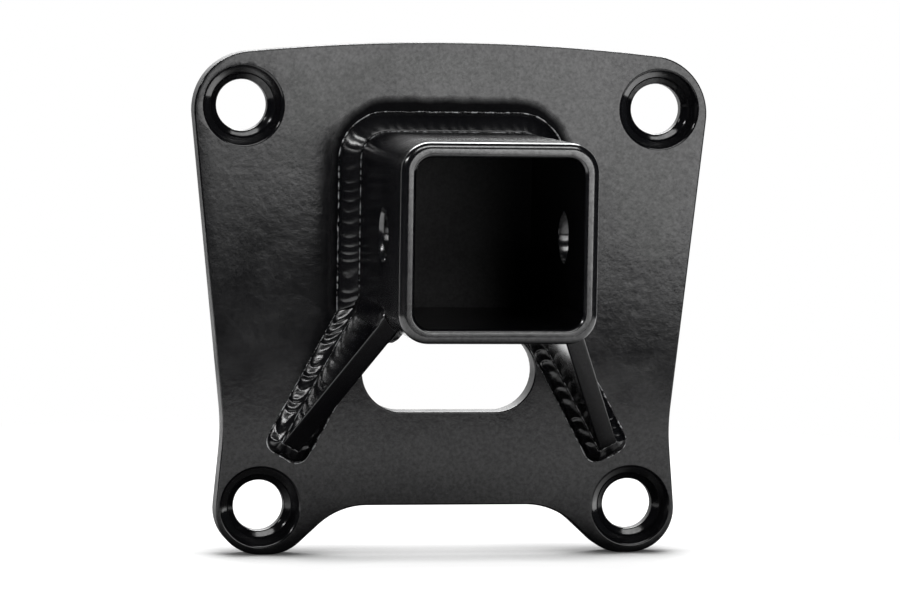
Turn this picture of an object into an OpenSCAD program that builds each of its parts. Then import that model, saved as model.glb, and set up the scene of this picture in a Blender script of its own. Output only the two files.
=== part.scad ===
// Bolt-on receiver hitch: a cut steel plate with a square receiver tube welded to its
// face, braced by two gussets under the tube. Everything is one fixed weldment.
// X runs across the plate, Z is up, and the mouth of the tube faces -Y.
// The origin is on the plate's back face, on the axis of the tube.

/* [Mounting plate] */
// Thickness of the plate
plate_t = 9.525; // [6:0.005:16]
// Height of the plate's crowned top above the tube axis
crown_top = 61.2; // [57:0.1:75]
// Radius of the crowned top edge
crown_r = 660; // [400:10:2000]
// Radius of the two upper corners
corner_r = 19.5; // [17:0.1:21]
// Distance from the centre line to the centre of an upper corner
corner_x = 67.1; // [60:0.1:74]
// Half width of the waist, where the sides turn outwards again
waist_x = 75.5; // [70:0.1:80]
// Depth of the waist below the tube axis
waist_drop = 67.5; // [55:0.5:72]
// Radius that softens the waist
waist_r = 70; // [30:1:100]
// Depth of the bottom edge below the tube axis
bottom_drop = 93.4; // [80:0.1:96]
// Radius of the two lugs round the lower bolt holes
lug_r = 15; // [14:0.1:18]
// Depth of a lug's centre below its bolt hole
lug_low = 1; // [0:0.1:2]
// Width of the flat between the two arcs of a lug
lug_flat_w = 2.9; // [0.5:0.1:6]
// Radius between the bottom edge and each lug
lug_fillet_r = 24; // [10:1:30]
// Distance from the centre line to where the bottom edge turns down to a lug
lug_turn_x = 36.4; // [30:0.1:38]

/* [Bolt holes] */
// Distance between the two upper bolt holes
top_hole_spacing = 140.4; // [130:0.1:144]
// Distance between the two lower bolt holes
low_hole_spacing = 125.8; // [118:0.1:130]
// Height of the upper bolt holes above the tube axis
top_hole_z = 39.7; // [34:0.1:42]
// Vertical distance between the upper and the lower bolt holes
hole_rows = 133.5; // [126:0.1:137]
// Diameter of the bolt holes
bolt_hole_d = 17; // [13:0.1:19]
// Diameter of the countersink at the front face
sink_d = 26.6; // [22:0.1:28]
// Depth of the countersink, down to the bolt hole
sink_depth = 5.2; // [4.6:0.1:5.4]
// Diameter at which the steep upper cone of the countersink turns into its flatter seat
seat_d = 21.4; // [20:0.1:24]
// Depth of that turn below the front face
seat_depth = 3.9; // [3:0.1:4.4]

/* [Window] */
// Overall width of the window under the tube
window_w = 58.6; // [40:0.1:60]
// Height of the window, which is also twice the radius of its round ends
window_h = 26.8; // [15:0.1:27]
// Depth of the window's centre below the tube axis
window_drop = 48.7; // [48.6:0.1:56]

/* [Receiver tube] */
// Outside width of the square tube
tube_w = 63.5; // [58:0.1:64]
// Wall thickness of the tube
tube_wall = 4.76; // [3:0.01:6.4]
// Length of the tube from the front of the plate
tube_len = 88.9; // [75:0.1:150]
// Radius on the outer edge of the mouth
mouth_round = 2.4; // [0.5:0.1:3]
// How much rounder the bore's corners are than an even wall makes them
bore_ease = 0.5; // [0:0.05:1]
// Chamfer on the inner edge of the mouth
mouth_chamfer = 0.8; // [0.2:0.1:1.2]
// Diameter of the hitch pin holes
pin_hole_d = 16.8; // [16.3:0.1:17.5]
// Chamfer round each pin hole
pin_chamfer = 1.2; // [0.3:0.1:1.5]
// Distance from the mouth to the pin holes
pin_setback = 34.2; // [30:0.1:50]

/* [Gussets] */
// Thickness of each gusset
gusset_t = 6.35; // [5:0.05:7]
// Angle of each gusset from the vertical
gusset_lean = 28.5; // [26:0.5:31]
// Distance from the tube axis to the middle plane of a gusset
gusset_offset = 12.3; // [12:0.1:13]
// Distance from the tube axis, along the gusset, to its nose
gusset_len = 90; // [80:0.5:92]
// Height of a gusset where it meets the tube
gusset_h = 61.5; // [40:0.5:66]
// Height of the blunt nose of a gusset
nose_h = 6; // [5:0.1:10]

/* [Weld beads] */
// Leg of the weld round the tube
tube_leg = 6.3; // [4:0.1:6.6]
// Leg of the welds on the gussets
gusset_leg = 4.2; // [3:0.1:4.3]
// Spacing of the ripples in a weld
ripple = 5.2; // [4:0.1:8]

/* [Hidden] */
$fn = 64;

coat = "#1c1d1f";
bead_coat = "#161719";
// Overrun of a cutting shape past the face that it cuts
over = 1;
// Size of the blocks that trim the weld beads
far = 200;
// Straight lines and arcs that touch are tucked this far in, so that they join cleanly
tuck = 0.004;

// Crown: its centre, and the upper corner's centre and point of contact with it
crown_y = crown_top - crown_r;
corner_y = crown_y + sqrt(pow(crown_r - corner_r, 2) - pow(corner_x, 2));
corner_c = [corner_x, corner_y];
crown_dir = (corner_c - [0, crown_y]) / (crown_r - corner_r);

// Side: straight from the upper corner to the waist, and from there to the lug
waist = [waist_x, -waist_drop];
low_hole = [low_hole_spacing / 2, top_hole_z - hole_rows];
top_hole = [top_hole_spacing / 2, top_hole_z];
lug_outer = low_hole - [0, lug_low];
lug_inner = lug_outer - [lug_flat_w, 0];
lug_turn = [lug_turn_x, -bottom_drop];

// Tube: the flats' half width and the corner radii, outside and inside
tube_r = 2 * tube_wall;
flat = tube_w / 2 - tube_r;
bore_w = tube_w - 2 * tube_wall;
bore_r = tube_r - tube_wall + bore_ease;
pin_z = tube_len - pin_setback;

// Gusset: its faces, and the tube corner's centre along and across the gusset
face_out = gusset_offset + gusset_t / 2;
face_in = gusset_offset - gusset_t / 2;
post_s = flat * (sin(gusset_lean) + cos(gusset_lean));
post_n = flat * (cos(gusset_lean) - sin(gusset_lean));
root_out = post_s + sqrt(pow(tube_r, 2) - pow(face_out - post_n, 2));
root_in = post_s + sqrt(pow(tube_r, 2) - pow(face_in - post_n, 2));
cope_s = post_s + tube_r / 2;

// Height on the tube's side at which the side weld meets the outer gusset weld
mitre_y = -(tube_w / 2 * cos(gusset_lean) - face_out) / sin(gusset_lean);

// Point where a line from p touches the circle of radius r round c.
// side is 1 or -1 for the two lines that do.
function touch(p, c, r, side) =
    let (v = p - c, d = norm(v), a = acos(r / d) * side, u = v / d)
    c + r * [u[0] * cos(a) - u[1] * sin(a), u[0] * sin(a) + u[1] * cos(a)];

function unit(v) = v / norm(v);

// Height of a gusset's free edge at the distance s along its foot
function edge_h(s) = gusset_h - (gusset_h - nose_h) * (s - cope_s) / (gusset_len - cope_s);

// Way out of the corner between a gusset's face and the tube, in the gusset's frame.
// dir is 1 for the outer face and -1 for the inner one.
function corner_out(face, dir) =
    let (turn = dir * asin((face - post_n) / tube_r))
    unit([1 - sin(turn), dir * cos(turn), 0]);

side_top = touch(waist, corner_c, corner_r - tuck, 1);
side_low = touch(waist, lug_outer, lug_r - tuck, -1);
slope_low = touch(lug_turn, lug_inner, lug_r - tuck, 1);

// Local frame on the plate's front face: x across, y up and z out along the tube
module on_face() {
    translate([0, -plate_t, 0]) rotate([90, 0, 0]) children();
}

module both_sides() {
    children();
    mirror([1, 0, 0]) children();
}

// Frame of the right gusset: x along its foot, y across its thickness, z off the plate
module along_gusset() {
    rotate([0, 0, gusset_lean - 90]) children();
}

// Flat piece of the plate's thickness, cut to a drawn shape
module slab() {
    translate([0, 0, -plate_t]) linear_extrude(plate_t) children();
}

// Fills the inside corner at p between points a and b with an arc of radius r
module corner_fill(p, a, b, r) {
    u = unit(a - p);
    v = unit(b - p);
    half = acos(u * v) / 2;
    run = r / tan(half);
    centre = p + unit(u + v) * r / sin(half);
    slab() difference() {
        polygon([p - unit(u + v) * over, p + u * run, centre, p + v * run]);
        translate(centre) circle(r + tuck, $fn = 180);
    }
}

// Corner, waist and lug of one side of the plate
module plate_side() {
    slab() translate(corner_c) circle(corner_r);
    slab() translate(lug_outer) circle(lug_r);
    slab() translate(lug_inner) circle(lug_r);
    slab() translate([lug_inner[0], lug_inner[1] - lug_r + tuck])
        square([lug_flat_w, lug_r]);
    corner_fill(waist, side_top, side_low, waist_r);
    corner_fill(lug_turn, slope_low, [0, -bottom_drop], lug_fillet_r);
}

// Straight sided middle of the plate, from the upper corners down to the lugs
module plate_middle() {
    right = [corner_c, side_top, waist, side_low, lug_outer, lug_inner, slope_low, lug_turn];
    count = len(right);
    left = [for (i = [1 : count]) [-right[count - i][0], right[count - i][1]]];
    slab() polygon(concat(right, left));
}

module crown() {
    tip = corner_c + 2 * crown_dir * corner_r;
    slab() intersection() {
        translate([0, crown_y]) circle(crown_r - tuck, $fn = 720);
        polygon([[-flat, 0], [flat, 0], corner_c, tip, [-tip[0], tip[1]], [-corner_x, corner_y]]);
    }
}

module window() {
    end_x = window_w / 2 - window_h / 2;
    translate([0, 0, -plate_t - over]) linear_extrude(plate_t + 2 * over) {
        translate([-end_x, -window_drop - window_h / 2]) square([2 * end_x, window_h]);
        both_sides() translate([end_x, -window_drop]) circle(window_h / 2);
    }
}

module bolt_hole(at) {
    translate([at[0], at[1], -plate_t - over]) cylinder(h = plate_t + 2 * over, d = bolt_hole_d);
    translate([at[0], at[1], -sink_depth])
        cylinder(h = sink_depth - seat_depth, d1 = bolt_hole_d, d2 = seat_d);
    translate([at[0], at[1], -seat_depth]) cylinder(h = seat_depth, d1 = seat_d, d2 = sink_d);
    translate([at[0], at[1], 0]) cylinder(h = over, d = sink_d);
}

module mounting_plate() {
    color(coat) on_face() difference() {
        union() {
            plate_middle();
            both_sides() plate_side();
            crown();
        }
        window();
        both_sides() {
            bolt_hole(top_hole);
            bolt_hole(low_hole);
        }
    }
}

// Square with round corners, drawn from two bars and four discs
module rounded_square(w, r) {
    square([w, w - 2 * r], center = true);
    square([w - 2 * r, w], center = true);
    for (x = [-1, 1], y = [-1, 1])
        translate([x, y] * (w / 2 - r)) circle(r);
}

// Outside of the tube as far as the plate, without the rounding of its mouth
module tube_envelope() {
    linear_extrude(tube_len) rounded_square(tube_w, tube_r);
}

// Section of half a bar of the tube: a strip out to x with its far corner rounded
module edge_section(x) {
    square([x, tube_len - mouth_round]);
    square([x - mouth_round, tube_len]);
    translate([x - mouth_round, tube_len - mouth_round]) circle(mouth_round);
}

// Outside of the tube with its mouth rounded: two crossed bars and four turned corners
module tube_outside() {
    for (turn = [0, 90]) rotate([0, 0, turn])
        translate([0, flat, 0]) rotate([90, 0, 0]) linear_extrude(2 * flat)
            both_sides() edge_section(tube_w / 2);
    for (x = [-1, 1], y = [-1, 1])
        translate([x * flat, y * flat, 0]) rotate_extrude() edge_section(tube_r);
}

// Flare that breaks the inner edge of the mouth
module mouth_flare() {
    reach = bore_w / 2;
    inner_flat = reach - bore_r;
    rise = mouth_chamfer + over;
    translate([0, 0, tube_len - mouth_chamfer]) {
        for (turn = [0, 90]) rotate([0, 0, turn])
            translate([0, inner_flat, 0]) rotate([90, 0, 0]) linear_extrude(2 * inner_flat)
                polygon([[-reach, 0], [reach, 0], [reach + rise, rise], [-reach - rise, rise]]);
        for (x = [-1, 1], y = [-1, 1])
            translate([x * inner_flat, y * inner_flat, 0])
                cylinder(h = rise, r1 = bore_r, r2 = bore_r + rise);
    }
}

module pin_holes() {
    translate([0, 0, pin_z]) rotate([0, 90, 0]) {
        cylinder(h = tube_w + 2 * over, d = pin_hole_d, center = true);
        for (turn = [0, 180]) rotate([turn, 0, 0])
            translate([0, 0, tube_w / 2 - pin_chamfer])
                cylinder(h = pin_chamfer + over, d1 = pin_hole_d,
                         d2 = pin_hole_d + 2 * (pin_chamfer + over));
    }
}

module receiver_tube() {
    color(coat) on_face() difference() {
        tube_outside();
        translate([0, 0, -over]) linear_extrude(tube_len + 2 * over)
            rounded_square(bore_w, bore_r);
        mouth_flare();
        pin_holes();
    }
}

// Right gusset: a flat triangle with a blunt nose, coped to the tube's round corner
module gusset() {
    difference() {
        along_gusset() translate([0, face_out, 0]) rotate([90, 0, 0])
            linear_extrude(gusset_t) polygon([
                [cope_s, 0], [gusset_len, 0], [gusset_len, nose_h], [cope_s, gusset_h]
            ]);
        translate([flat, -flat, -over]) cylinder(h = gusset_h + 2 * over, r = tube_r);
    }
}

module gusset_left() {
    color(coat) on_face() mirror([1, 0, 0]) gusset();
}

module gusset_right() {
    color(coat) on_face() gusset();
}

// Pool of weld metal: a ball whose centre is sunk behind the corner that it fills, so
// that it reaches leg along x. The unit vector out points out of the corner's middle.
function pool_sink(leg) = sqrt(2) * leg;
function pool_r(leg, out) = norm(leg * [1, 0, 0] + pool_sink(leg) * out);

module pool(leg, out = unit([1, 0, 1])) {
    translate(-pool_sink(leg) * out) sphere(pool_r(leg, out));
}

// Row of pools along y from start to end, one for each ripple
module pools(leg, start, end) {
    count = ceil((end - start) / ripple);
    step = (end - start) / count;
    for (i = [0 : count - 1])
        translate([0, start + (i + 0.5) * step, 0]) pool(leg);
}

// Straight fillet weld along y in the corner between x = 0 and z = 0
module run_weld(leg, start, end) {
    intersection() {
        pools(leg, start, end);
        translate([0, start, 0]) cube([far, end - start, far]);
    }
}

// Everything on the far side of the mitre between the side weld and the gusset weld
module past_mitre() {
    translate([tube_w / 2, mitre_y, -far / 2]) rotate([0, 0, gusset_lean / 2])
        translate([-far / 2, -far, 0]) cube([far, far, far]);
}

module side_weld() {
    difference() {
        translate([tube_w / 2, 0, 0]) run_weld(tube_leg, mitre_y - 2 * ripple, flat);
        tube_envelope();
        past_mitre();
        corner_space(root_out, face_out, 1);
    }
}

// Weld over the top of the tube and round its two upper corners
module top_weld() {
    turns = 4;
    difference() {
        intersection() {
            union() {
                translate([0, tube_w / 2, 0]) rotate([0, 0, 90]) pools(tube_leg, -flat, flat);
                both_sides() for (i = [0 : turns - 1])
                    translate([flat, flat, 0]) rotate([0, 0, 90 * (i + 0.5) / turns])
                        translate([tube_r, 0, 0]) pool(tube_leg);
            }
            translate([-far / 2, flat, 0]) cube([far, far, far]);
        }
        tube_envelope();
    }
}

module outer_weld() {
    intersection() {
        difference() {
            along_gusset() translate([0, face_out, 0]) rotate([0, 0, 90])
                run_weld_past(gusset_leg, -gusset_len, -root_out);
            tube_envelope();
            corner_space(root_out, face_out, 1);
        }
        past_mitre();
    }
}

module run_weld_past(leg, start, end) {
    run_weld(leg, start, end + 2 * ripple);
}

module inner_weld() {
    difference() {
        along_gusset() translate([0, face_in, 0]) mirror([0, 1, 0]) rotate([0, 0, 90])
            run_weld_past(gusset_leg, -gusset_len, -root_in);
        tube_envelope();
        corner_space(root_in, face_in, -1);
    }
}

// Round end of the weld over the nose of a gusset: one ball that meets both side toes
module nose_weld() {
    half = gusset_t / 2 + gusset_leg;
    sunk = (half * half - gusset_leg * gusset_leg) / (2 * gusset_leg);
    along_gusset() intersection() {
        translate([gusset_len - sunk, gusset_offset, -sunk])
            sphere(norm([gusset_leg + sunk, sunk]));
        translate([gusset_len, gusset_offset - half, 0]) cube([far, 2 * half, far]);
    }
}

// Weld up the tube's corner on one face of a gusset, as far as the gusset's free edge
module corner_weld(root, face, dir) {
    out = corner_out(face, dir);
    rise = sqrt(pow(pool_r(gusset_leg, out), 2) - pow(pool_sink(gusset_leg), 2));
    end = edge_h(root) - rise;
    count = ceil(end / ripple);
    difference() {
        along_gusset() intersection() {
            for (i = [0 : count])
                translate([root, face, end * i / count]) pool(gusset_leg, out);
            translate([0, dir > 0 ? face : face - far, 0]) cube(far);
        }
        tube_envelope();
    }
}

// Round space that a corner weld fills, cut out of the beads on the plate that meet it
module corner_space(root, face, dir) {
    out = corner_out(face, dir);
    along_gusset() translate([root, face, -over] - pool_sink(gusset_leg) * out)
        cylinder(h = far, r = pool_r(gusset_leg, out));
}

module weld_tube_top() {
    color(bead_coat) on_face() top_weld();
}

module weld_tube_left() {
    color(bead_coat) on_face() mirror([1, 0, 0]) side_weld();
}

module weld_tube_right() {
    color(bead_coat) on_face() side_weld();
}

module weld_gusset_left_outer() {
    color(bead_coat) on_face() mirror([1, 0, 0]) outer_weld();
}

module weld_gusset_left_nose() {
    color(bead_coat) on_face() mirror([1, 0, 0]) nose_weld();
}

module weld_gusset_left_inner() {
    color(bead_coat) on_face() mirror([1, 0, 0]) inner_weld();
}

module weld_gusset_right_outer() {
    color(bead_coat) on_face() outer_weld();
}

module weld_gusset_right_nose() {
    color(bead_coat) on_face() nose_weld();
}

module weld_gusset_right_inner() {
    color(bead_coat) on_face() inner_weld();
}

module weld_corner_left_outer() {
    color(bead_coat) on_face() mirror([1, 0, 0]) corner_weld(root_out, face_out, 1);
}

module weld_corner_left_inner() {
    color(bead_coat) on_face() mirror([1, 0, 0]) corner_weld(root_in, face_in, -1);
}

module weld_corner_right_outer() {
    color(bead_coat) on_face() corner_weld(root_out, face_out, 1);
}

module weld_corner_right_inner() {
    color(bead_coat) on_face() corner_weld(root_in, face_in, -1);
}

mounting_plate();
receiver_tube();
gusset_left();
gusset_right();
weld_tube_top();
weld_tube_left();
weld_tube_right();
weld_gusset_left_outer();
weld_gusset_left_nose();
weld_gusset_left_inner();
weld_gusset_right_outer();
weld_gusset_right_nose();
weld_gusset_right_inner();
weld_corner_left_outer();
weld_corner_left_inner();
weld_corner_right_outer();
weld_corner_right_inner();
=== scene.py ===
import math

import bmesh
import bpy
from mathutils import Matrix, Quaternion, Vector, noise


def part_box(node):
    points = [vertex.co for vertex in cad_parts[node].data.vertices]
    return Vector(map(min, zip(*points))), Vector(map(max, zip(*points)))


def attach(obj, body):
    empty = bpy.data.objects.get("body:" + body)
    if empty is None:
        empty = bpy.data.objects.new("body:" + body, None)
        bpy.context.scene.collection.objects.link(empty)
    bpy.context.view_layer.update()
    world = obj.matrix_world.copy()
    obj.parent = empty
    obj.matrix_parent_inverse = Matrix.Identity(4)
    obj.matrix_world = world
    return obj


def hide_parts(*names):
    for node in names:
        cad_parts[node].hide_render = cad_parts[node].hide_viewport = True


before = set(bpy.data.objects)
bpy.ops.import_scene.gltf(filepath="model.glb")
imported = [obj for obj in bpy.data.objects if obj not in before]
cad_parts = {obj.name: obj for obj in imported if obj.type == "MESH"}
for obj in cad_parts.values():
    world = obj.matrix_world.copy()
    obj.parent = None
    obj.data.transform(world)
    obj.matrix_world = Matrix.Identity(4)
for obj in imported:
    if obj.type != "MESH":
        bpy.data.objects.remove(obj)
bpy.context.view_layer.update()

scene = bpy.context.scene
scene.view_settings.view_transform = "Standard"


# The camera stands in front of the mouth, a little to the left and above it.
# It looks at a point just under the receiver tube, through a long lens.
aim = Vector((0.0, -0.0095, -0.02454))
yaw, pitch, roll = math.radians(10.09), math.radians(4.36), math.radians(0.94)
back = Vector((-math.sin(yaw) * math.cos(pitch), -math.cos(yaw) * math.cos(pitch), math.sin(pitch)))

camera = bpy.data.objects.new("camera", bpy.data.cameras.new("camera"))
scene.collection.objects.link(camera)
camera.data.lens = 178.63
camera.data.sensor_width = 36.0
camera.data.clip_end = 50.0
camera.location = aim + back * 1.49078
camera.rotation_mode = "QUATERNION"
camera.rotation_quaternion = back.to_track_quat("Z", "Y") @ Quaternion((0, 0, 1), roll)
scene.camera = camera


# A white table top carries the hitch on its two lower lugs.
# It is matt and pale, and its far parts run into the white behind it. Its white is dimmed
# close under the lugs as a painted contact shadow, and what the coat mirrors of it is
# painted dark under the hitch as painted shade.
def linear(hex_colour):
    parts = [int(hex_colour[i : i + 2], 16) / 255 for i in (1, 3, 5)]
    return [p / 12.92 if p <= 0.04045 else ((p + 0.055) / 1.055) ** 2.4 for p in parts] + [1.0]


def add(tree, kind, links=(), **settings):
    node = tree.nodes.new(kind)
    for key, value in settings.items():
        if key.startswith("in_"):
            socket = key[3:]
            node.inputs[int(socket) if socket.isdigit() else socket.replace("_", " ")].default_value = value
        else:
            setattr(node, key, value)
    for source, into in links:
        tree.links.new(source, node.inputs[into])
    return node


table_half, table_z = 0.52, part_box("mounting_plate")[0].z - 0.0001
bm = bmesh.new()
bmesh.ops.create_grid(bm, x_segments=1, y_segments=1, size=table_half)
bmesh.ops.translate(bm, vec=(0, 0, table_z), verts=bm.verts)
table_mesh = bpy.data.meshes.new("table_top")
bm.to_mesh(table_mesh)
bm.free()
table_top = bpy.data.objects.new("table_top", table_mesh)
scene.collection.objects.link(table_top)

table_paint = bpy.data.materials.new("matt_white_table")
table_paint.use_nodes = True
tree = table_paint.node_tree
tree.nodes.clear()
# Painted contact shadow: the white the eye sees is dimmed where the table lies close under the lugs.
nook = add(tree, "ShaderNodeAmbientOcclusion", samples=16, in_Distance=0.03)
painted_contact_shadow = add(tree, "ShaderNodeMapRange", [(nook.outputs["AO"], 0)], in_1=0.6, in_2=1.0, in_3=0.05, in_4=0.88)
glow = add(tree, "ShaderNodeEmission", [(painted_contact_shadow.outputs[0], "Strength")], in_Color=linear("#ffffff"))
white = add(tree, "ShaderNodeEmission", in_Color=linear("#ffffff"), in_Strength=1.0)
shaded = add(tree, "ShaderNodeBsdfDiffuse", in_Color=linear("#8a8a8a"))
lifted = add(tree, "ShaderNodeAddShader", [(shaded.outputs[0], 0), (glow.outputs[0], 1)])
place = add(tree, "ShaderNodeTexCoord")
reach = add(tree, "ShaderNodeVectorMath", [(place.outputs["Object"], 0)], operation="LENGTH")
fade = add(tree, "ShaderNodeMapRange", [(reach.outputs["Value"], 0)], in_1=0.30, in_2=0.43)
seen = add(tree, "ShaderNodeMixShader", [(fade.outputs[0], 0), (lifted.outputs[0], 1), (white.outputs[0], 2)])
# Painted shade: what the coat mirrors of the table is painted dark close under the hitch.
under = add(tree, "ShaderNodeMapRange", [(reach.outputs["Value"], 0)], in_1=0.13, in_2=0.185)
tone = add(tree, "ShaderNodeMix", [(under.outputs[0], 0)], data_type="RGBA", in_6=linear("#2a2a2a"), in_7=linear("#ececec"))
matt = add(tree, "ShaderNodeBsdfDiffuse", [(tone.outputs[2], 0)])
path = add(tree, "ShaderNodeLightPath")
mixed = add(tree, "ShaderNodeMixShader", [(path.outputs["Is Camera Ray"], 0), (matt.outputs[0], 1), (seen.outputs[0], 2)])
add(tree, "ShaderNodeOutputMaterial", [(mixed.outputs[0], 0)])
table_mesh.materials.append(table_paint)


# The room is white behind the hitch and dim in front of it.
# Four soft lamps light it: a wide box in front, a large one high behind, one high in
# front and a strip at the left.
world = bpy.data.worlds.new("room")
scene.world = world
world.use_nodes = True
tree = world.node_tree
tree.nodes.clear()
path = add(tree, "ShaderNodeLightPath")
place = add(tree, "ShaderNodeTexCoord")
way = add(tree, "ShaderNodeSeparateXYZ", [(place.outputs["Generated"], 0)])
behind = add(tree, "ShaderNodeMapRange", [(way.outputs["Y"], 0)], in_1=0.6, in_2=0.85)
dim = add(tree, "ShaderNodeMix", [(behind.outputs[0], 0)], data_type="RGBA", in_6=linear("#303134"), in_7=linear("#ffffff"))
to_eye = add(tree, "ShaderNodeMath", [(path.outputs["Is Camera Ray"], 0), (path.outputs["Is Transmission Ray"], 1)], operation="MAXIMUM")
shown = add(tree, "ShaderNodeMix", [(to_eye.outputs[0], 0), (dim.outputs[2], 6)], data_type="RGBA", in_7=linear("#ffffff"))
sky = add(tree, "ShaderNodeBackground", [(shown.outputs[2], 0)], in_Strength=1.0)
add(tree, "ShaderNodeOutputWorld", [(sky.outputs[0], 0)])


def soft_box(name, place, target, width, height, radiance, tilt=0.0):
    lamp = bpy.data.lights.new(name, "AREA")
    lamp.shape = "RECTANGLE"
    lamp.size, lamp.size_y = width, height
    lamp.energy = radiance * math.pi * width * height
    box = bpy.data.objects.new(name, lamp)
    scene.collection.objects.link(box)
    box.location = place
    aimed = (Vector(target) - Vector(place)).to_track_quat("-Z", "Y")
    box.rotation_mode = "QUATERNION"
    box.rotation_quaternion = aimed @ Quaternion((0, 0, 1), math.radians(tilt))


soft_box("front_box", (0.80, -2.5, 0.235), (0.80, 0, 0.235), 1.2, 0.9, 3.8, -14.5)
soft_box("top_box", (0.0, 1.25, 1.15), (0, -0.1, -0.1), 1.4, 0.9, 14.5)
soft_box("high_box", (0.0, -1.0, 1.33), (0, 0, 0), 1.5, 0.55, 5.0)
soft_box("left_strip", (-1.35, -0.35, 0.78), (0, 0, 0), 0.9, 0.14, 14.0)


# The mounting plate: 3/8 in steel, cut to its outline, with four countersunk holes.
# Its edges are broken by hand, and the whole weldment is sprayed with black powder and
# baked. That gives a semi-gloss coat with a fine orange peel, which rounds every edge.
def powder_coat(name, roughness, peel_mm, peel_depth_mm, wave_depth_mm, shine=0.5, halo_and_shade_mask=None, polished=None, painted_glint_grey=None):
    paint = bpy.data.materials.new(name)
    paint.use_nodes = True
    tree = paint.node_tree
    tree.nodes.clear()
    place = add(tree, "ShaderNodeTexCoord").outputs["Object"]
    peel = add(tree, "ShaderNodeTexNoise", [(place, 0)], in_Scale=500 / peel_mm, in_Detail=3.0, in_Roughness=0.6)
    wave = add(tree, "ShaderNodeTexNoise", [(place, 0)], in_Scale=500 / 7.0, in_Detail=2.0)
    patch = add(tree, "ShaderNodeTexNoise", [(place, 0)], in_Scale=500 / 16.0, in_Detail=5.0, in_Roughness=0.65)
    gloss = add(tree, "ShaderNodeMapRange", [(patch.outputs[0], 0)], in_1=0.3, in_2=0.7, in_3=roughness - 0.03, in_4=roughness + 0.05).outputs[0]
    grain = add(tree, "ShaderNodeTexNoise", [(place, 0)], in_Scale=500 / 0.55, in_Detail=4.0, in_Roughness=0.7)
    level = add(tree, "ShaderNodeMapRange", [(grain.outputs[0], 0)], in_1=0.3, in_2=0.7, in_3=shine * 0.72, in_4=shine * 1.28).outputs[0]
    # Where this mask is low the coat mirrors less and is rougher: a dark ragged halo round the tube weld, and painted
    # shade on the plate inside the tube.
    if halo_and_shade_mask:
        whole = halo_and_shade_mask(tree, place)
        left = add(tree, "ShaderNodeMapRange", [(whole, 0)], in_3=0.09, in_4=1.0)
        level = add(tree, "ShaderNodeMath", [(level, 0), (left.outputs[0], 1)], operation="MULTIPLY").outputs[0]
        duller = add(tree, "ShaderNodeMapRange", [(whole, 0)], in_3=0.35, in_4=0.0)
        gloss = add(tree, "ShaderNodeMath", [(gloss, 0), (duller.outputs[0], 1)], operation="ADD").outputs[0]
    if polished:
        gloss = add(tree, "ShaderNodeMath", [(gloss, 0), (polished(tree, place), 1)], operation="MULTIPLY").outputs[0]
    slow = add(tree, "ShaderNodeBump", [(wave.outputs[0], "Height")], in_Strength=1.0, in_Distance=wave_depth_mm / 1000)
    fine = add(tree, "ShaderNodeBump", [(peel.outputs[0], "Height"), (slow.outputs[0], "Normal")], in_Strength=1.0, in_Distance=peel_depth_mm / 1000)
    coat = add(tree, "ShaderNodeBsdfPrincipled", [(gloss, "Roughness"), (level, "Specular IOR Level"), (fine.outputs[0], "Normal")], in_Base_Color=linear("#08080a"), in_IOR=1.5, in_Specular_IOR_Level=shine)
    # Painted highlight: light grey specks in the base colour stand in for glints on the toe ridge.
    if painted_glint_grey:
        speck = add(tree, "ShaderNodeTexNoise", [(place, 0)], in_Scale=500 / 0.9, in_Detail=3.0)
        painted_glint_mask = add(tree, "ShaderNodeMapRange", [(speck.outputs[0], 0)], in_1=0.45, in_2=0.62)
        tone = add(tree, "ShaderNodeMix", [(painted_glint_mask.outputs[0], 0)], data_type="RGBA", in_6=linear("#08080a"), in_7=linear(painted_glint_grey))
        tree.links.new(tone.outputs[2], coat.inputs["Base Color"])
    add(tree, "ShaderNodeOutputMaterial", [(coat.outputs[0], 0)])
    return paint


def eased_copy(name, node, edge_mm, turn):
    bm = bmesh.new()
    bm.from_mesh(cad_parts[node].data)
    bmesh.ops.remove_doubles(bm, verts=bm.verts, dist=2e-6)
    bmesh.ops.dissolve_limit(bm, angle_limit=math.radians(0.4), verts=bm.verts, edges=bm.edges)
    sharp = [e for e in bm.edges if len(e.link_faces) == 2 and e.calc_face_angle() > math.radians(turn)]
    bmesh.ops.bevel(bm, geom=sharp, offset=edge_mm / 1000, offset_type="OFFSET", segments=3, profile=0.5, affect="EDGES", clamp_overlap=False, material=-1)
    bmesh.ops.triangulate(bm, faces=[f for f in bm.faces if len(f.verts) > 4])
    return finished(name, bm)


def finished(name, bm):
    for face in bm.faces:
        face.smooth = True
    mesh = bpy.data.meshes.new(name)
    bm.to_mesh(mesh)
    bm.free()
    piece = bpy.data.objects.new(name, mesh)
    scene.collection.objects.link(piece)
    even = piece.modifiers.new("even_shading", "WEIGHTED_NORMAL")
    even.weight, even.keep_sharp = 50, False
    return piece


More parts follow.
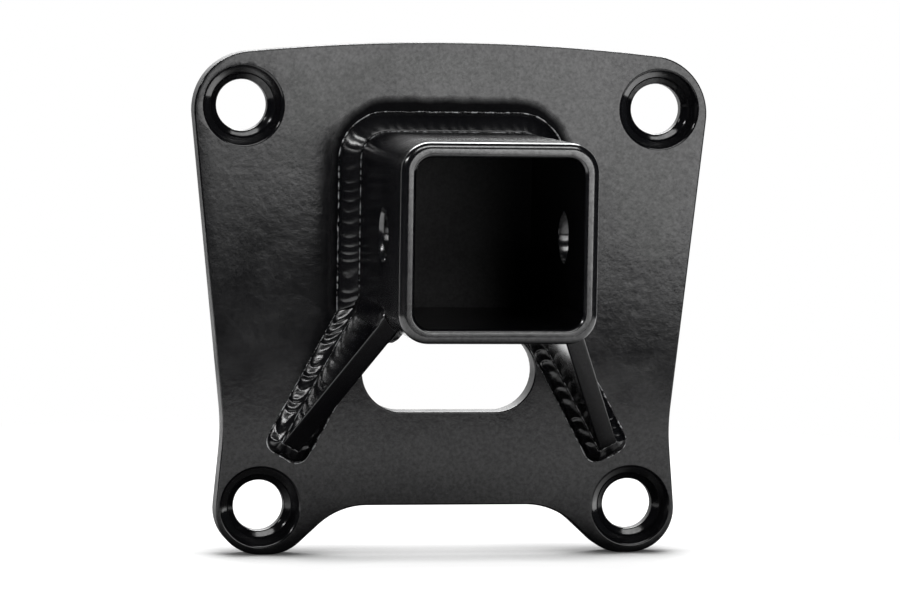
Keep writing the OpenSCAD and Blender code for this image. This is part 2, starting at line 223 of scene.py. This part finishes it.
# Mask on the plate's front face: 0 under the tube wall and weld and in a ragged band a few mm past the weld's toe, 0.2
# on the plate inside the tube as painted shade, 1 elsewhere.
def round_weld(tree, place):
    away = add(tree, "ShaderNodeVectorMath", [(place, 0)], operation="ABSOLUTE")
    past = add(tree, "ShaderNodeVectorMath", [(away.outputs[0], 0)], operation="MULTIPLY_ADD", in_1=(1, -10, 1), in_2=(-0.0205, 0.0935, -0.0226))
    kept = add(tree, "ShaderNodeVectorMath", [(past.outputs[0], 0)], operation="MAXIMUM", in_1=(0, 0, 0))
    ragged = add(tree, "ShaderNodeTexNoise", [(place, 0)], in_Scale=500 / 2.5, in_Detail=4.0)
    reach = add(tree, "ShaderNodeVectorMath", [(kept.outputs[0], 0)], operation="LENGTH")
    shift = add(tree, "ShaderNodeMath", [(ragged.outputs[0], 0), (reach.outputs["Value"], 2)], operation="MULTIPLY_ADD", in_1=0.002)
    outside = add(tree, "ShaderNodeMapRange", [(shift.outputs[0], 0)], in_1=0.0193, in_2=0.0222)
    inside = add(tree, "ShaderNodeMapRange", [(reach.outputs["Value"], 0)], in_1=0.0078, in_2=0.0100, in_3=0.2, in_4=0.0)
    return add(tree, "ShaderNodeMath", [(outside.outputs[0], 0), (inside.outputs[0], 1)], operation="MAXIMUM").outputs[0]


def cut_edge(tree, place):
    facing = add(tree, "ShaderNodeNewGeometry")
    parts = add(tree, "ShaderNodeSeparateXYZ", [(facing.outputs["Normal"], 0)])
    flat = add(tree, "ShaderNodeMath", [(parts.outputs["Y"], 0)], operation="ABSOLUTE")
    return add(tree, "ShaderNodeMapRange", [(flat.outputs[0], 0)], in_1=0.1, in_2=0.4, in_3=4.5, in_4=1.0).outputs[0]


plate = eased_copy("coated_plate", "mounting_plate", 0.5, 24)
plate.data.materials.append(powder_coat("plate_powder_coat", 0.12, 1.3, 0.02, 0.04, 0.5, round_weld, cut_edge))
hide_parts("mounting_plate")
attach(plate, "root")


# The receiver: a length of square steel tube, with its mouth turned smooth outside and
# chamfered inside, and a chamfered pin hole drilled through both sides. Same coat.
tube = eased_copy("coated_tube", "receiver_tube", 0.3, 24)
tube.data.materials.append(powder_coat("tube_powder_coat", 0.2, 1.1, 0.012, 0.01))
tube.data.materials.append(powder_coat("machined_edge_coat", 0.16, 1.1, 0.003, 0.004, 1.0))
mouth_y, pin_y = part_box("receiver_tube")[0].y, -0.064225
for face in tube.data.polygons:
    middle = face.center
    in_pin_hole = math.hypot(middle.y - pin_y, middle.z) < 0.0105 and abs(face.normal.x) < 0.9
    face.material_index = int(middle.y < mouth_y + 0.0016 or in_pin_hole)
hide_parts("receiver_tube")
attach(tube, "root")


# The two gussets: 1/4 in plate, sheared to a blunt triangle and coped to the tube.
# Their faces are flatter than the big plate, so they mirror the welds beside them.
gusset_coat = powder_coat("gusset_powder_coat", 0.14, 1.3, 0.008, 0.015)
for side in ("left", "right"):
    gusset = eased_copy("coated_gusset_" + side, "gusset_" + side, 0.45, 24)
    gusset.data.materials.append(gusset_coat)
    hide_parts("gusset_" + side)
    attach(gusset, "root")


# The welds on the plate: one rippled run round the tube, and one round the foot of each
# gusset, laid by hand. The coat pools along both toes in a thin ridge that catches the lamps,
# and light grey specks painted on that ridge add painted glints to its bright line.
face_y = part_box("receiver_tube")[1].y
tube_half, tube_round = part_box("receiver_tube")[1].x, 0.00952
flat_half = tube_half - tube_round
lean = math.radians(28.5)
along, across = Vector((math.sin(lean), 0, -math.cos(lean))), Vector((math.cos(lean), 0, math.sin(lean)))
post = (flat_half * (math.sin(lean) + math.cos(lean)), flat_half * (math.cos(lean) - math.sin(lean)))
outer_v, inner_v, foot = 0.015475, 0.009125, 0.090
tube_leg, gusset_leg = 0.0063, 0.0044


def on_gusset(u, v, height=0.0):
    return along * u + across * v + Vector((0, face_y - height, 0))


def root_u(v):
    return post[0] + math.sqrt(tube_round**2 - (v - post[1]) ** 2)


def steps(count):
    return [(k + 1) / count for k in range(count)]


def mirrored(p, side):
    return Vector((p.x * side, p.y, p.z))


def bead(name, stations, ripple_mm, height_mm, bulge, seed, paint, toe_paint):
    """A weld bead through stations of (root, toe on one face, toe on the other)."""
    across_count, rounds = 15, len(stations)
    travel = [0.0]
    for before, after in zip(stations, stations[1:]):
        travel.append(travel[-1] + ((after[1] + after[2]) - (before[1] + before[2])).length / 2)
    bm = bmesh.new()
    bmesh.ops.create_grid(bm, x_segments=rounds - 1, y_segments=across_count + 1, size=1)
    for v in bm.verts:
        i, j = round((v.co.x + 1) / 2 * (rounds - 1)), round((v.co.y + 1) / 2 * (across_count + 1))
        root, toe, top = stations[i]
        out = (toe + top) / 2 - root
        if j in (0, across_count + 1):
            v.co = root - out * 0.1
            continue
        t = (j - 1) / (across_count - 1)
        crown = (toe + top) / 2 + out * bulge
        base = toe * (1 - t) ** 2 + crown * 2 * t * (1 - t) + top * t**2
        s = travel[i] * 1000
        jitter = noise.noise(Vector((s * 0.11, seed, 0))) * 0.9
        phase = (s / ripple_mm + jitter + 1.3 * (2 * t - 1) ** 2 * 0.35) % 1.0
        wave = math.sin(math.pi * phase**1.25)
        lumps = noise.noise(Vector((s * 0.35, t * 2.4, seed + 5))) * 0.6 + noise.noise(Vector((s * 1.1, t * 5.0, seed + 9))) * 0.12
        hump = math.sin(math.pi * t) ** 0.7
        v.co = base + out.normalized() * hump * height_mm * (wave - 0.5 + lumps) / 1000
    bmesh.ops.remove_doubles(bm, verts=bm.verts, dist=1e-6)
    bmesh.ops.holes_fill(bm, edges=[e for e in bm.edges if len(e.link_faces) == 1], sides=0)
    for column in (1, 2):
        seam = bmesh.new()
        sides = 6
        bmesh.ops.create_grid(seam, x_segments=rounds - 1, y_segments=sides, size=1)
        for v in seam.verts:
            i, j = round((v.co.x + 1) / 2 * (rounds - 1)), round((v.co.y + 1) / 2 * sides)
            root, toe, top = stations[i]
            out = ((toe + top) / 2 - root).normalized()
            side_way = (stations[i][column] - root).normalized()
            turn = 2 * math.pi * (j % sides) / sides
            swell = 0.20 + 0.12 * noise.noise(Vector((travel[i] * 900, seed, column * 7)))
            drift = noise.noise(Vector((travel[i] * 260, seed + 3, column * 3))) * 0.25
            v.co = stations[i][column] + side_way * drift / 1000 + (side_way * math.cos(turn) + out * math.sin(turn)) * swell / 1000
        bmesh.ops.remove_doubles(seam, verts=seam.verts, dist=1e-7)
        bmesh.ops.holes_fill(seam, edges=[e for e in seam.edges if len(e.link_faces) == 1], sides=0)
        for face in seam.faces:
            face.material_index = 1
        part = bpy.data.meshes.new("seam")
        seam.to_mesh(part)
        seam.free()
        bm.from_mesh(part)
        bpy.data.meshes.remove(part)
    bmesh.ops.recalc_face_normals(bm, faces=bm.faces)
    piece = finished(name, bm)
    piece.data.materials.append(paint)
    piece.data.materials.append(toe_paint)
    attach(piece, "root")
    return piece


weld_coat = powder_coat("weld_powder_coat", 0.2, 0.9, 0.01, 0.03, 0.7)
# The toe ridges' coat carries light grey specks: painted glints.
toe_coat = powder_coat("toe_ridge_coat", 0.15, 0.9, 0.01, 0.0, 0.9, painted_glint_grey="#c4c5c7")
start_u = root_u(outer_v)
meet_u = (tube_half + tube_leg - (outer_v + gusset_leg) * across.x) / along.x
meet = on_gusset(meet_u, outer_v + gusset_leg)
off_plate = Vector((0, -1, 0))


def round_tube():
    first = on_gusset(start_u, outer_v)
    start_turn = math.atan2(first.z + flat_half, first.x - flat_half)
    half_run = []
    for t in [0.0] + steps(14):
        turn = start_turn * (1 - t)
        root = Vector((flat_half + tube_round * math.cos(turn), face_y, -flat_half + tube_round * math.sin(turn)))
        toe = meet.lerp(Vector((tube_half + tube_leg, face_y, -flat_half)), t)
        half_run.append((root, toe, root + off_plate * tube_leg))
    for t in steps(150):
        root = Vector((tube_half, face_y, flat_half * (2 * t - 1)))
        half_run.append((root, root + Vector((tube_leg, 0, 0)), root + off_plate * tube_leg))
    for t in steps(60):
        way = Vector((math.cos(t * math.pi / 2), 0, math.sin(t * math.pi / 2)))
        root = Vector((flat_half, face_y, flat_half)) + way * tube_round
        half_run.append((root, root + way * tube_leg, root + off_plate * tube_leg))
    for t in steps(75):
        root = Vector((flat_half * (1 - t), face_y, tube_half))
        half_run.append((root, root + Vector((0, 0, tube_leg)), root + off_plate * tube_leg))
    far_half = [tuple(mirrored(p, -1) for p in station) for station in reversed(half_run[:-1])]
    return half_run + far_half


def round_gusset(side):
    run = []
    for t in [0.0] + steps(190):
        u = start_u + (foot - start_u) * t
        run.append((on_gusset(u, outer_v), meet.lerp(on_gusset(foot, outer_v + gusset_leg), t), on_gusset(u, outer_v, gusset_leg)))
    for t in steps(16):
        way = across * math.cos(t * math.pi / 2) + along * math.sin(t * math.pi / 2)
        root = on_gusset(foot, outer_v)
        run.append((root, root + way * gusset_leg, root + off_plate * gusset_leg + way * 0.0001))
    for t in steps(24):
        root = on_gusset(foot, outer_v + (inner_v - outer_v) * t)
        run.append((root, root + along * gusset_leg, root + off_plate * gusset_leg + along * 0.0001))
    for t in steps(16):
        way = along * math.cos(t * math.pi / 2) - across * math.sin(t * math.pi / 2)
        root = on_gusset(foot, inner_v)
        run.append((root, root + way * gusset_leg, root + off_plate * gusset_leg + way * 0.0001))
    for t in steps(190):
        u = foot + (root_u(inner_v) - foot) * t
        run.append((on_gusset(u, inner_v), on_gusset(u, inner_v - gusset_leg), on_gusset(u, inner_v, gusset_leg)))
    return [tuple(mirrored(p, side) for p in station) for station in run]


tube_weld = bead("tube_weld", round_tube(), 3.6, 0.13, 0.2, 1.0, weld_coat, toe_coat)
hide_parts("weld_tube_top", "weld_tube_left", "weld_tube_right")
for side, sign in (("left", -1), ("right", 1)):
    gusset_weld = bead("gusset_weld_" + side, round_gusset(sign), 5.2, 0.42, 0.4, 3.0 + sign, weld_coat, toe_coat)
    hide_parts(*["weld_gusset_" + side + "_" + run for run in ("outer", "nose", "inner")])


# The welds up the tube's lower corners: one run on each face of each gusset.
# They start in the welds on the plate and die out at the gusset's sloping edge.
def up_corner(v, way, side, end):
    root_at = root_u(v)
    turn = way * math.asin((v - post[1]) / tube_round)
    run = []
    for t in [0.0] + steps(150):
        height = end * t
        fade = math.sqrt(max(0.03, 1 - max(0.0, (height - end + 0.005) / 0.005) ** 2))
        root = on_gusset(root_at, v, height)
        hold = turn + 0.0028 * fade / tube_round
        edge = Vector((post[0] + tube_round * math.cos(hold), 0, way * tube_round * math.sin(hold) + post[1]))
        run.append((root, on_gusset(root_at + gusset_leg * fade, v, height), on_gusset(edge.x, edge.z, height)))
    return [tuple(mirrored(p, side) for p in station) for station in run]


for side, sign in (("left", -1), ("right", 1)):
    for run, v, way, end in (("outer", outer_v, 1, 0.0590), ("inner", inner_v, -1, 0.0560)):
        corner = bead("corner_weld_" + side + "_" + run, up_corner(v, way, sign, end), 4.4, 0.6, 0.5, 11.0 + sign + way * 2, weld_coat, weld_coat)
        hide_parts("weld_corner_" + side + "_" + run)
